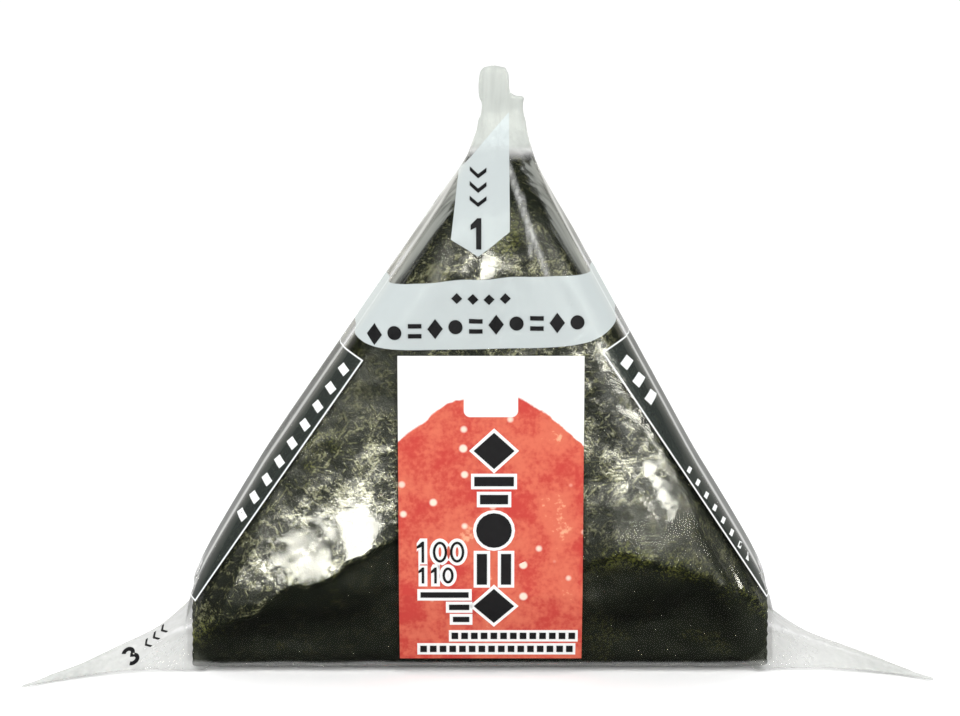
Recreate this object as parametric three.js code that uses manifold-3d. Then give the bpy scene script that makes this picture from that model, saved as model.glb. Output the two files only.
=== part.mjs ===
// A wrapped rice ball: a triangular block of rice in dried seaweed, sealed in clear film and
// stood on its foot. The film is pinched into a tail of two flaps at the top and into a flat
// ear at each end of the foot.
// A paper label is stuck on the front. Millimetres, +Z up, the front faces -Y.
// The origin is on the floor, under the middle of the whole pack.

import * as THREE from "three";
import { mergeVertices } from "three/addons/utils/BufferGeometryUtils.js";
import Module from "manifold-3d";

// The block in its film. Half sizes run from its own middle.
const FOOT_HALF = 48.3; // across the foot, ears left out
const FOOT_ROUND = 3; // rounding of the bottom edges
const SLOPE_RUN = 0.623; // how far a side comes in for each millimetre of height
const SLOPE_HALF = 30.6; // half width at MIDDLE_Z, on the straight part of a side
const MIDDLE_Z = 40;
const DEPTH_HALF = 17.2; // front to back at the belly
const BELLY_Z = 13; // the thickest level
const LEAN_BACK = 0.03; // how far the front leans back for each millimetre above the belly
const TUCK_IN = 0.15; // how far it comes in for each millimetre below the belly
const CROWN_RUN = 1.35; // the same over the crown, where the film is drawn in to the neck
const CORNER_ROUND = 6; // the upright edges
const HEAD_SHIFT = 3.5; // the neck stands this far to the right of the foot's middle
const SHIFT_FROM_Z = 34;
const FOLD = 1.3; // how far the folded seaweed across the foot stands out

// The neck and the two flaps of the tail.
const NECK_Z = 85.5;
const NECK_HALF = 3.9;
const NECK_DEPTH_HALF = 0.9;
const FLAP_HALF = 0.45; // half thickness of a flap, which is several layers of film
const TALL_FLAP = { left: -0.45, right: 4.7, top: 95.3, back: 0 };
const SHORT_FLAP = { left: 4.1, right: 7.5, top: 90.8, back: 0.5 };

// The ears: where each starts in the block, and where its tip lies. The left one stands higher.
const EAR_TIP_X = 71.2;
const EAR_ROOT_X = 44;
const EAR_ROOT_DEPTH = 27;
const LEFT_EAR = { side: -1, tipY: -22.5, rootHeight: 12.9 };
const RIGHT_EAR = { side: 1, tipY: -19.3, rootHeight: 11.9 };

// The paper label.
const LABEL_WIDTH = 29;
const LABEL_LEFT = -12.8;
const LABEL_BOTTOM = 2.9;
const LABEL_TOP = 52.3;
const PAPER = 0.3;
const PAPER_GAP = 0.3;

const clamp = (x, low, high) => Math.min(high, Math.max(low, x));
const bell = (x, width) => Math.exp(-((x / width) ** 2));
const softMax = (a, b, blend) => (a + b + Math.hypot(a - b, blend)) / 2;
const softMin = (a, b, blend) => (a + b - Math.hypot(a - b, blend)) / 2;

// How far a bottom edge is rounded in at a height.
function footInset(z) {
  const below = Math.max(0, FOOT_ROUND - z);
  return FOOT_ROUND - Math.sqrt(FOOT_ROUND ** 2 - below ** 2);
}

// Half width of the film at a height: an upright cheek, a straight slope, then the neck.
function halfWidth(z) {
  const slope = SLOPE_HALF - (z - MIDDLE_Z) * SLOPE_RUN;
  const side = softMin(FOOT_HALF, slope, 3);
  return softMax(side, NECK_HALF, 2) - footInset(z);
}

// Half thickness of the film at a height.
function halfDepth(z) {
  const body = DEPTH_HALF - (z > BELLY_Z ? (z - BELLY_Z) * LEAN_BACK : (BELLY_Z - z) * TUCK_IN);
  const crown = NECK_DEPTH_HALF + (NECK_Z - z) * CROWN_RUN;
  return softMax(softMin(body, crown, 2.5), NECK_DEPTH_HALF, 0.6) - footInset(z);
}

// The head leans to the right of the foot.
function middleX(z) {
  return HEAD_SHIFT * clamp((z - SHIFT_FROM_Z) / (NECK_Z - SHIFT_FROM_Z), 0, 1);
}

// 1 where the label lies, 0 well clear of it.
function underLabel(x, z) {
  const EASE = 4;
  const fromLeft = clamp((x - LABEL_LEFT) / EASE + 1, 0, 1);
  const fromRight = clamp((LABEL_LEFT + LABEL_WIDTH - x) / EASE + 1, 0, 1);
  const fromTop = clamp((LABEL_TOP - z) / EASE + 1, 0, 1);
  return fromLeft * fromRight * fromTop;
}

// The height of the fold across the foot: level, with two humps, and lower at both corners.
function foldLine(x) {
  const humps = 7 * bell(x + 8, 12) + 5.5 * bell(x - 35, 8);
  return 12.5 + humps - 6 * (x / FOOT_HALF) ** 8;
}

// The relief of a broad face, outward: the fold of seaweed across the foot, puckers that
// run up to the neck and loose waves in the film. It fades out at the floor and at the neck.
const FRONT = 1;
const BACK = -1;

function relief(x, z, face) {
  const above = z - foldLine(face * x);
  const fold = FOLD * bell(above, above > 0 ? 9 : 3.2);
  const bearing = Math.atan2(x - middleX(z), NECK_Z + 4 - z);
  const puckers = 0.55 * Math.cos(bearing * 21 + face) * bell(z - 66, 13);
  const waves = 0.35 * Math.sin((face * x) / 6.1 + z / 9.3) * Math.cos(z / 6.7 - x / 14);
  const fade = clamp(z / 5, 0, 1) * clamp((NECK_Z - 2 - z) / 8, 0, 1);
  return (fold + puckers + waves) * fade;
}

// The front of the film, as a depth from the block's middle.
function frontY(x, z) {
  return -halfDepth(z) - relief(x, z, FRONT) * (1 - underLabel(x, z));
}

// One level of the film: a rectangle with round corners, as the same number of points at
// every height, anticlockwise from the left end of the front.
const FACE_STEPS = 18;
const CORNER_STEPS = 5;
const SIDE_STEPS = 4;

function level(z) {
  const w = halfWidth(z);
  const d = halfDepth(z);
  const round = Math.min(CORNER_ROUND, 0.92 * w, 0.92 * d);
  const shift = middleX(z);
  const ring = [];
  const put = (x, y) => ring.push(new THREE.Vector3(x + shift, y, z));
  const flat = w - round;
  const side = d - round;
  const arc = (cornerX, cornerY, from) => {
    for (let i = 1; i < CORNER_STEPS; i++) {
      const a = from + (i / CORNER_STEPS) * (Math.PI / 2);
      put(cornerX + round * Math.cos(a), cornerY + round * Math.sin(a));
    }
  };
  for (let i = 0; i <= FACE_STEPS; i++) {
    const x = -flat + (2 * flat * i) / FACE_STEPS;
    put(x, frontY(x + shift, z));
  }
  arc(flat, -side, -Math.PI / 2);
  for (let i = 0; i <= SIDE_STEPS; i++) {
    put(w + tuck(i, z), -side + (2 * side * i) / SIDE_STEPS);
  }
  arc(flat, side, 0);
  for (let i = 0; i <= FACE_STEPS; i++) {
    const x = flat - (2 * flat * i) / FACE_STEPS;
    put(x, d + relief(x + shift, z, BACK));
  }
  arc(-flat, side, Math.PI / 2);
  for (let i = 0; i <= SIDE_STEPS; i++) {
    put(-w - tuck(i, z), side - (2 * side * i) / SIDE_STEPS);
  }
  arc(-flat, -side, Math.PI);
  return ring;
}

// The seam down the middle of a sloping side stands a little proud, where the front film laps the back.
function tuck(step, z) {
  const SEAM = 0.7;
  const fade = clamp((z - 6) / 6, 0, 1) * clamp((NECK_Z - 6 - z) / 10, 0, 1);
  return step === SIDE_STEPS / 2 ? SEAM * fade : 0;
}

// A closed skin over a row of rings that all have the same number of points.
function skin(rings) {
  const count = rings[0].length;
  const places = rings.flat().flatMap((p) => [p.x, p.y, p.z]);
  const faces = [];
  const at = (ring, i) => ring * count + (i % count);
  for (let r = 0; r + 1 < rings.length; r++) {
    for (let i = 0; i < count; i++) {
      faces.push(at(r, i), at(r, i + 1), at(r + 1, i + 1));
      faces.push(at(r, i), at(r + 1, i + 1), at(r + 1, i));
    }
  }
  for (const [ring, turned] of [
    [0, true],
    [rings.length - 1, false],
  ]) {
    const middle = new THREE.Vector3();
    rings[ring].forEach((p) => middle.addScaledVector(p, 1 / count));
    const hub = places.length / 3;
    places.push(middle.x, middle.y, middle.z);
    for (let i = 0; i < count; i++) {
      const [a, b] = turned ? [i + 1, i] : [i, i + 1];
      faces.push(at(ring, a), at(ring, b), hub);
    }
  }
  const made = new THREE.BufferGeometry();
  made.setAttribute("position", new THREE.Float32BufferAttribute(places, 3));
  made.setIndex(faces);
  return made;
}

// The heights of the levels: close at the rounded foot and over the crown, even between.
function heights() {
  const found = [];
  const FOOT_STEPS = 4;
  for (let i = 0; i < FOOT_STEPS; i++) {
    found.push(FOOT_ROUND * (1 - Math.cos((i / FOOT_STEPS) * (Math.PI / 2))));
  }
  const steps = (from, to, count) => {
    for (let i = 0; i < count; i++) {
      found.push(from + ((to - from) * i) / count);
    }
  };
  steps(FOOT_ROUND, 66, 21);
  steps(66, NECK_Z, 11);
  found.push(NECK_Z, NECK_Z + 2);
  return found;
}

function bodySkin() {
  return skin(heights().map(level));
}

// An ear: film pinched flat beyond the end of the block, from its full depth to a tip on the floor.
// A ridge runs along its top: it falls steeply beside the block, then gently to the tip. Its
// underside is arched a little, and only the tip touches the floor.
function earSkin({ side, tipY, rootHeight }) {
  const STEPS = 11;
  const TOP_STEPS = 9;
  const UNDER_STEPS = 3;
  const ROOT_Y = -1;
  const TIP_HALF = 0.7;
  const TIP_HEIGHT = 0.9;
  const ARCH = 0.3;
  const ROOT_LIFT = 0.15;
  const TAPER = 1.38;
  const STEEP_SHARE = 0.58;
  const rings = [];
  for (let i = 0; i <= STEPS; i++) {
    const along = i / STEPS;
    const x = side * (EAR_ROOT_X + (EAR_TIP_X - EAR_ROOT_X) * along);
    const y = ROOT_Y + (tipY - ROOT_Y) * (0.75 * along + 0.25 * along ** 2);
    const half = TIP_HALF + (EAR_ROOT_DEPTH / 2) * (1 - along) ** TAPER;
    const fall = STEEP_SHARE * (1 - along) ** 6 + (1 - STEEP_SHARE) * (1 - along) ** 1.8;
    const height = TIP_HEIGHT + (rootHeight - TIP_HEIGHT) * fall;
    const under = ROOT_LIFT * (1 - along) + ARCH * Math.sin(Math.PI * along) ** 2;
    const ring = [];
    for (let k = 0; k <= TOP_STEPS; k++) {
      const a = (k / TOP_STEPS) * Math.PI;
      const crease = 1 - 0.12 * Math.sin(a) * Math.cos(4 * a + 6 * along);
      ring.push(new THREE.Vector3(x, y + side * half * Math.cos(a), under + height * Math.sin(a) * crease));
    }
    for (let k = 1; k < UNDER_STEPS; k++) {
      ring.push(new THREE.Vector3(x, y - side * half * (1 - (2 * k) / UNDER_STEPS), under));
    }
    rings.push(ring);
  }
  return skin(rings);
}

// A flap of the tail: an upright strip of film, a little waved, with its top corners rounded.
function flapSkin({ left, right, top, back }) {
  const STEPS = 7;
  const CORNER = 0.7;
  const CORNER_HEIGHT = 1.6;
  const WAVE = 0.5;
  const BOW = 0.2;
  const bottom = NECK_Z - 5;
  const rings = [];
  for (let i = 0; i <= STEPS; i++) {
    const z = bottom + ((top - bottom) * i) / STEPS;
    const taken = CORNER * clamp((z - top + CORNER_HEIGHT) / CORNER_HEIGHT, 0, 1);
    const bend = back + WAVE * Math.sin((z - bottom) / 2.6);
    const corners = [
      [left + taken, -FLAP_HALF],
      [(left + right) / 2, -FLAP_HALF - BOW],
      [right - taken / 2, -FLAP_HALF],
      [right - taken / 2, FLAP_HALF],
      [(left + right) / 2, FLAP_HALF - BOW],
      [left + taken, FLAP_HALF],
    ];
    rings.push(corners.map(([x, y]) => new THREE.Vector3(x, y + bend, z)));
  }
  return skin(rings);
}

// The label follows the front of the film, PAPER_GAP off it, and bends in with it at the foot.
function labelSkin() {
  const ACROSS = 8;
  const UP = 18;
  const face = (x, z) => {
    const inner = Math.max(0, Math.abs(x - middleX(z)) - (halfWidth(z) - CORNER_ROUND));
    const turn = CORNER_ROUND - Math.sqrt(CORNER_ROUND ** 2 - Math.min(inner, CORNER_ROUND - 1) ** 2);
    return -halfDepth(z) + turn;
  };
  const rings = [];
  for (let j = 0; j <= UP; j++) {
    const z = LABEL_BOTTOM + ((LABEL_TOP - LABEL_BOTTOM) * j) / UP;
    const xs = Array.from({ length: ACROSS + 1 }, (_, i) => LABEL_LEFT + (LABEL_WIDTH * i) / ACROSS);
    const outer = xs.map((x) => new THREE.Vector3(x, face(x, z) - PAPER_GAP - PAPER, z));
    const inner = xs.map((x) => new THREE.Vector3(x, face(x, z) - PAPER_GAP, z)).reverse();
    rings.push([...outer, ...inner]);
  }
  return skin(rings);
}

// Joining leaves slivers thinner than this, which are closed up.
const SLIVER = 0.01;

const wasm = await Module();
wasm.setup();

function solid(geometry) {
  const merged = mergeVertices(geometry, 1e-4);
  return new wasm.Manifold(
    new wasm.Mesh({
      numProp: 3,
      vertProperties: new Float32Array(merged.attributes.position.array),
      triVerts: new Uint32Array(merged.index.array),
    }),
  );
}

function geometryOf(made) {
  const mesh = made.getMesh();
  const geometry = new THREE.BufferGeometry();
  geometry.setAttribute("position", new THREE.BufferAttribute(mesh.vertProperties, 3));
  geometry.setIndex(new THREE.BufferAttribute(mesh.triVerts, 1));
  return geometry;
}

const pieces = [
  earSkin(LEFT_EAR),
  earSkin(RIGHT_EAR),
  flapSkin(TALL_FLAP),
  flapSkin(SHORT_FLAP),
];
let pack = solid(bodySkin());
for (const piece of pieces) {
  pack = pack.add(solid(piece));
}
pack = pack.asOriginal().simplify(SLIVER);

const part = new THREE.Group();

const wrapped = new THREE.Mesh(
  geometryOf(pack),
  new THREE.MeshStandardMaterial({ color: 0x2b3222, roughness: 0.25, metalness: 0 }),
);
wrapped.name = "film_pack";
part.add(wrapped);

const label = new THREE.Mesh(
  labelSkin(),
  new THREE.MeshStandardMaterial({ color: 0xe2503f, roughness: 0.6, metalness: 0 }),
);
label.name = "paper_label";
part.add(label);

// The ears reach further forward than the block reaches back, so the pack is moved on to its middle.
const middle = new THREE.Box3().setFromObject(part).getCenter(new THREE.Vector3());
part.children.forEach((mesh) => mesh.position.set(-middle.x, -middle.y, 0));

export default part;
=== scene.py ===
import math

import bpy
import numpy as np
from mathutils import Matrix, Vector, noise


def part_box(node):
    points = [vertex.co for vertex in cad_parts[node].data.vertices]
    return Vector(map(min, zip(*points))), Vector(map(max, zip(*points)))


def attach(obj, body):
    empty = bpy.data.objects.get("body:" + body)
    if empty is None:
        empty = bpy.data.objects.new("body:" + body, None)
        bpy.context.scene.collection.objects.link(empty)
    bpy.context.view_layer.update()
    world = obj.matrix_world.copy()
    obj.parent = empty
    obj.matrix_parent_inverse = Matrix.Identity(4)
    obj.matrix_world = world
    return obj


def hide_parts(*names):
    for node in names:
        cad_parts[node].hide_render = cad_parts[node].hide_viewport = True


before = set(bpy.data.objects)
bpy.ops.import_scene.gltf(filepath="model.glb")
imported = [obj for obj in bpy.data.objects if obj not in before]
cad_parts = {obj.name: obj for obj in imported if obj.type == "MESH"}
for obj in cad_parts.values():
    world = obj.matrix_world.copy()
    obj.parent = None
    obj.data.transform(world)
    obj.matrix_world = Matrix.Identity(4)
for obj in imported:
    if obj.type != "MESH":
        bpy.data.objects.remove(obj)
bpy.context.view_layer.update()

# The studio: a pale floor under a white surround, a wide soft light over the front and one on each
# side, and the camera a little above the pack, looking down at it from straight in front.
MM = 0.001
VIEW_DOWN = math.radians(12)
VIEW_DISTANCE = 350 * MM
VIEW_HEIGHT = 48.5 * MM
FOCAL_PIXELS = 2150
PICTURE_WIDTH = 960
SENSOR_WIDTH = 36
# The block's own middle, front to back, lies behind the middle of the pack with its ears.
BACK_DEPTH = 18.66 * MM
BLOCK_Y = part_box("film_pack")[1][1] - BACK_DEPTH


def deselect():
    bpy.ops.object.select_all(action="DESELECT")


deselect()
bpy.ops.object.camera_add(
    location=(
        0,
        BLOCK_Y - VIEW_DISTANCE * math.cos(VIEW_DOWN),
        VIEW_HEIGHT + VIEW_DISTANCE * math.sin(VIEW_DOWN),
    ),
    rotation=(math.radians(90) - VIEW_DOWN, 0, 0),
)
camera = bpy.context.object
camera.name = "camera"
camera.data.sensor_width = SENSOR_WIDTH
camera.data.lens = FOCAL_PIXELS / PICTURE_WIDTH * camera.data.sensor_width
bpy.context.scene.camera = camera


def nodes_of(owner):
    """An emptied node tree."""
    owner.use_nodes = True
    owner.node_tree.nodes.clear()
    return owner.node_tree


def add(tree, kind, sockets=None, **settings):
    """One shader node, with its settings and with what feeds each of its sockets."""
    node = tree.nodes.new(kind)
    for name, value in settings.items():
        setattr(node, name, value)
    for key, value in (sockets or {}).items():
        socket = node.inputs[key]
        if isinstance(value, bpy.types.NodeSocket):
            tree.links.new(value, socket)
        else:
            socket.default_value = value
    return node


def sum_of(tree, operation, *values, clamp=False):
    """The result of one Math node."""
    node = add(tree, "ShaderNodeMath", dict(enumerate(values)), operation=operation)
    node.use_clamp = clamp
    return node.outputs[0]


def ramp(tree, value, low, high):
    """0 below low, 1 above high and a smooth step between them."""
    node = add(
        tree,
        "ShaderNodeMapRange",
        {"Value": value, "From Min": low, "From Max": high},
        interpolation_type="SMOOTHSTEP",
    )
    return node.outputs["Result"]


def blend(tree, share, first, second):
    """A colour between two others."""
    node = tree.nodes.new("ShaderNodeMix")
    node.data_type = "RGBA"
    for socket, value in ((node.inputs[0], share), (node.inputs[6], first), (node.inputs[7], second)):
        if isinstance(value, bpy.types.NodeSocket):
            tree.links.new(value, socket)
        elif isinstance(value, tuple):
            socket.default_value = (*value, 1)
        else:
            socket.default_value = value
    return node.outputs[2]


def soft_light(name, place, towards, size, watts):
    """A rectangular lamp that lights the pack but isn't seen, nor mirrored."""
    deselect()
    bpy.ops.object.light_add(type="AREA", location=place)
    lamp = bpy.context.object
    lamp.name = name
    lamp.data.shape = "RECTANGLE"
    lamp.data.size, lamp.data.size_y = size
    lamp.data.energy = watts
    lamp.rotation_euler = (Vector(towards) - Vector(place)).to_track_quat("-Z", "Y").to_euler()
    lamp.visible_camera = False
    lamp.visible_glossy = False


AIM = (0, 0, VIEW_HEIGHT)
soft_light("light_above", (-0.12, -0.42, 0.62), AIM, (0.42, 0.30), 1.3)
soft_light("light_left", (-0.65, -0.10, 0.30), AIM, (0.35, 0.5), 0.7)
soft_light("light_right", (0.65, -0.22, 0.32), AIM, (0.3, 0.5), 0.7)


def span(tree, value, low, high, soft):
    """1 between low and high, fading to 0 over soft at both ends."""
    rising = ramp(tree, value, low - soft / 2, low + soft / 2)
    falling = ramp(tree, value, high + soft / 2, high - soft / 2)
    return sum_of(tree, "MULTIPLY", rising, falling)


WHITE_BEHIND = 1.6
DARK_ROOM = 0.04
WINDOW_LIGHT = 26
WHITE = (1.0, 1.0, 1.0)
WARM_WHITE = (1.0, 0.985, 0.88)

world = bpy.data.worlds.new("studio")
scene = bpy.context.scene
scene.world = world
world.cycles.sampling_method = "NONE"
tree = nodes_of(world)
# The surround is white. What is mirrored is white behind the pack and dark on the camera's side, with
# one wide window above the camera.
direction = add(tree, "ShaderNodeTexCoord").outputs["Generated"]
towards = add(tree, "ShaderNodeSeparateXYZ", {0: direction}).outputs
sideways = sum_of(tree, "MULTIPLY", towards["X"], 0.72)
sideways = sum_of(tree, "MAXIMUM", sideways, sum_of(tree, "MULTIPLY", towards["X"], -1))
room = sum_of(tree, "MULTIPLY_ADD", ramp(tree, towards["Y"], 0.3, 1.0), WHITE_BEHIND, DARK_ROOM)
window = span(tree, towards["Z"], 0.15, 0.52, 0.16)
window = sum_of(tree, "MULTIPLY", window, ramp(tree, towards["Y"], -0.2, -0.45))
window = sum_of(tree, "MULTIPLY", window, ramp(tree, sideways, 0.62, 0.48))
room = sum_of(tree, "MULTIPLY_ADD", window, WINDOW_LIGHT, room)
path = add(tree, "ShaderNodeLightPath").outputs
surround = sum_of(tree, "MULTIPLY_ADD", path["Is Camera Ray"], 0.15, 0.9)
strength = sum_of(tree, "MULTIPLY", path["Is Glossy Ray"], sum_of(tree, "SUBTRACT", room, surround))
strength = sum_of(tree, "ADD", strength, surround)
tint = blend(tree, path["Is Glossy Ray"], WHITE, WARM_WHITE)
sky = add(tree, "ShaderNodeBackground", {"Color": tint, "Strength": strength})
add(tree, "ShaderNodeOutputWorld", {"Surface": sky.outputs[0]})

FLOOR_SIZE = 12
FLOOR_WHITE = (0.97, 0.97, 0.97)
FLOOR_DARK = (0.03, 0.03, 0.03)
FLOOR_GLOW = 0.19

deselect()
bpy.ops.mesh.primitive_plane_add(size=FLOOR_SIZE, location=(0, 0, 0))
floor = bpy.context.object
floor.name = "floor"
material = bpy.data.materials.new("pale_floor")
tree = nodes_of(material)
# What mirrors the floor in front of the pack mirrors a dark one; the camera sees it a little brighter.
path = add(tree, "ShaderNodeLightPath").outputs
at = add(tree, "ShaderNodeTexCoord").outputs["Object"]
spot = add(tree, "ShaderNodeSeparateXYZ", {0: at}).outputs
in_front = sum_of(tree, "MULTIPLY", path["Is Glossy Ray"], ramp(tree, spot["Y"], 0.03, -0.03))
paint = add(
    tree,
    "ShaderNodeBsdfPrincipled",
    {
        "Base Color": blend(tree, in_front, FLOOR_WHITE, FLOOR_DARK),
        "Roughness": 1.0,
        "Specular IOR Level": 0.0,
        "Emission Color": (1, 1, 1, 1),
        "Emission Strength": sum_of(tree, "MULTIPLY", path["Is Camera Ray"], FLOOR_GLOW),
    },
)
add(tree, "ShaderNodeOutputMaterial", {0: paint.outputs[0]})
floor.data.materials.append(material)

scene.view_settings.view_transform = "Standard"
scene.view_settings.look = "None"

# The clear film: one sheet round the block, drawn in to a neck at the top and pinched into an ear
# at each end of the foot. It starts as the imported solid's own skin, made fine, and is then creased.
VOXEL = 0.5 * MM
NECK_Z = 85.5 * MM
HEAD_SHIFT = 3.5 * MM
SHIFT_FROM_Z = 34 * MM
FOOT_HALF = 48.3 * MM
SLOPE_HALF = 30.6 * MM
SLOPE_RUN = 0.623
MIDDLE_Z = 40 * MM
CROWN_FROM_Z = 64 * MM
CROWN_TO_Z = 90 * MM
TAIL_REACH = 95.9 * MM
EAR_REACH = 72.0 * MM
STRETCH_TAIL_FROM = 86 * MM
STRETCH_EARS_FROM = 56 * MM
RAY_HEIGHT = 0.14 * MM
CRUMPLE_HEIGHT = 0.20 * MM
CRUMPLE_SIZE = 8 * MM
TAIL_PLEAT_HEIGHT = 0.10 * MM
EAR_PLEAT_HEIGHT = 0.15 * MM
EAR_WAVE_HEIGHT = 0.12 * MM
CREASE_HEIGHT = 0.5
LABEL_X = 1.7 * MM
LABEL_TOP_FADE = (53 * MM, 56 * MM)


def merged_copy(node, name):
    """A piece with a CAD node's mesh, its loose triangles joined."""
    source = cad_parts[node]
    piece = bpy.data.objects.new(name, source.data.copy())
    bpy.context.collection.objects.link(piece)
    piece.data.materials.clear()
    deselect()
    bpy.context.view_layer.objects.active = piece
    piece.select_set(True)
    bpy.ops.object.mode_set(mode="EDIT")
    bpy.ops.mesh.select_all(action="SELECT")
    bpy.ops.mesh.remove_doubles(threshold=0.005 * MM)
    bpy.ops.object.mode_set(mode="OBJECT")
    return piece


def apply_modifier(piece, kind, **settings):
    """Adds one modifier to a piece and applies it."""
    deselect()
    bpy.context.view_layer.objects.active = piece
    piece.select_set(True)
    modifier = piece.modifiers.new(kind.lower(), kind)
    for name, value in settings.items():
        setattr(modifier, name, value)
    bpy.ops.object.modifier_apply(modifier=modifier.name)


def smooth_where(piece, chosen, iterations):
    """Smooths a piece at the points that chosen, a list of yes and no, picks out."""
    group = piece.vertex_groups.new(name="smoothed")
    group.add([int(i) for i in np.nonzero(chosen)[0]], 1, "REPLACE")
    apply_modifier(piece, "SMOOTH", factor=0.5, iterations=iterations, vertex_group="smoothed")
    piece.vertex_groups.remove(piece.vertex_groups["smoothed"])


def points_of(mesh):
    places = np.empty(len(mesh.vertices) * 3, dtype=np.float32)
    mesh.vertices.foreach_get("co", places)
    return places.reshape(-1, 3).astype(float)


def normals_of(mesh):
    normals = np.empty(len(mesh.vertices) * 3, dtype=np.float32)
    mesh.vertex_normals.foreach_get("vector", normals)
    return normals.reshape(-1, 3).astype(float)


def set_points(mesh, places):
    mesh.vertices.foreach_set("co", places.astype(np.float32).ravel())
    mesh.update()


def step(value, low, high):
    """A smooth step from 0 at low to 1 at high, on arrays."""
    t = np.clip((value - low) / (high - low), 0, 1)
    return t * t * (3 - 2 * t)


def bell(value, width):
    """1 at 0, falling off smoothly on both sides."""
    return np.exp(-((value / width) ** 2))


def half_width(z):
    """Half width of the film at a height, as the solid has it."""
    slope = SLOPE_HALF - (z - MIDDLE_Z) * SLOPE_RUN
    return (FOOT_HALF + slope - np.hypot(FOOT_HALF - slope, 3 * MM)) / 2


def head_shift(z):
    """How far the block's head leans to the right at a height."""
    return HEAD_SHIFT * np.clip((z - SHIFT_FROM_Z) / (NECK_Z - SHIFT_FROM_Z), 0, 1)


def pleat(turns):
    """Sharp crests with round valleys between them."""
    return 0.65 - np.sqrt(np.sin(turns) ** 2 + 0.02)


def crease(x, z, start, end, width):
    """1 on the line from start to end, fading to 0 over width beside it and towards its ends."""
    run = np.array(end) - np.array(start)
    length = np.hypot(*run)
    run = run / length
    along = (x - start[0]) * run[0] + (z - start[1]) * run[1]
    beside = (x - start[0]) * run[1] - (z - start[1]) * run[0]
    ends = step(along, 0, 0.2 * length) * (1 - step(along, 0.8 * length, length))
    return np.exp(-np.abs(beside) / width) * ends


def fold_line(x):
    """The height of the fold across the foot: a little uneven, and highest beside the label."""
    humps = 11 * bell(x + 9 * MM, 17 * MM) + 7.2 * bell(x - 26 * MM, 16 * MM)
    wobble = 0.5 * np.sin(x / (2.9 * MM)) + 0.4 * np.sin(x / (1.7 * MM) + 1)
    wobble += 0.25 * np.sin(x / (0.7 * MM))
    lower_end = 2.2 * (1 - step(x, -38 * MM, -28 * MM))
    return (12.5 + humps + wobble - lower_end - 6 * (x / FOOT_HALF) ** 8) * MM


def crumpled(places, size, depth):
    """Ridged noise at each place, about 0 on the average."""
    return np.array([
        noise.ridged_multi_fractal(Vector(place) / size, 1.0, 2.1, depth, 1.0, 2.0) - 1.1
        for place in places
    ])


def off_label(x, z, start, end):
    """0 behind the label, rising to 1 from start to end sideways of its middle and above its top."""
    return np.maximum(step(np.abs(x - LABEL_X), start, end), step(z, *LABEL_TOP_FADE))


def swell(x, y, z):
    """How far the rice pushes a face out: along the fold and beside the label, never under it."""
    front = y < 0
    seen_x = np.where(front, x, -x)
    above = z - fold_line(seen_x)
    shelf = np.where(above > 0, np.exp(-above / (7 * MM)), np.exp(above / (2.5 * MM)))
    shelf *= 0.75 + 0.7 * bell(seen_x + 20 * MM, 11 * MM)
    shelf *= 1 - step(np.abs(x), 41 * MM, 47 * MM)
    left = 1.0 * bell(seen_x + 19 * MM, 9 * MM) * bell(z - 22 * MM, 10 * MM)
    right = 1.9 * bell(seen_x - 27 * MM, 6.5 * MM) * bell(z - 23 * MM, 10 * MM)
    body = 1.1 * shelf + left + right
    body *= np.where(front, off_label(x, z, 14.2 * MM, 20 * MM), 0.55)
    under_tab = 0.9 * bell(x - 1.2 * MM, 4 * MM) * bell(z - 63.5 * MM, 5 * MM)
    return (body + under_tab) * MM


def gleam(x, y, z):
    """Where the front face mirrors the window: a wedge on the left, a streak right of the label."""
    seen_x = np.where(y < 0, x, -x)
    wedge = bell(z - 27 * MM - 0.37 * (seen_x + 13.4 * MM), 5.5 * MM + 0.12 * (seen_x + 28 * MM))
    wedge *= step(seen_x, -40 * MM, -27 * MM) * (seen_x < 0)
    streak = crease(seen_x, z, np.array((14.6, 58)) * MM, np.array((31.6, 23)) * MM, 3.0 * MM)
    below_tab = bell(x - 1 * MM, 2.6 * MM) * bell(z - 65.5 * MM, 3.4 * MM)
    return np.maximum.reduce([wedge, streak, below_tab])


def stretched(value, start, reach):
    """Moves what lies past start outwards, so that the farthest of it comes to reach."""
    past = np.maximum(value - start, 0)
    return value + past / past.max() * (reach - value.max())


film = merged_copy("film_pack", "clear_film")
apply_modifier(film, "REMESH", mode="VOXEL", voxel_size=VOXEL)
apply_modifier(film, "SMOOTH", factor=0.5, iterations=6)
z = points_of(film.data)[:, 2]
smooth_where(film, (z > CROWN_FROM_Z) & (z < CROWN_TO_Z), 40)

places = points_of(film.data)
normals = normals_of(film.data)
x, z = places[:, 0], places[:, 2]
y = places[:, 1] - BLOCK_Y
facing = np.sign(y)
on_face = step(np.abs(normals[:, 1]), 0.5, 0.9)
neck_x = head_shift(z)
edge_room = half_width(z) - np.abs(x - neck_x)
uncovered = np.where(y < 0, off_label(x, z, 15.2 * MM, 18 * MM), 1)
tail = step(z, 79 * MM, 84 * MM)
ears = step(np.abs(x), 46.6 * MM, 47.6 * MM)
grip = step(edge_room, 2.5 * MM, 6 * MM) * (1 - step(z, 75 * MM, 79 * MM)) * (1 - ears)
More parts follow.
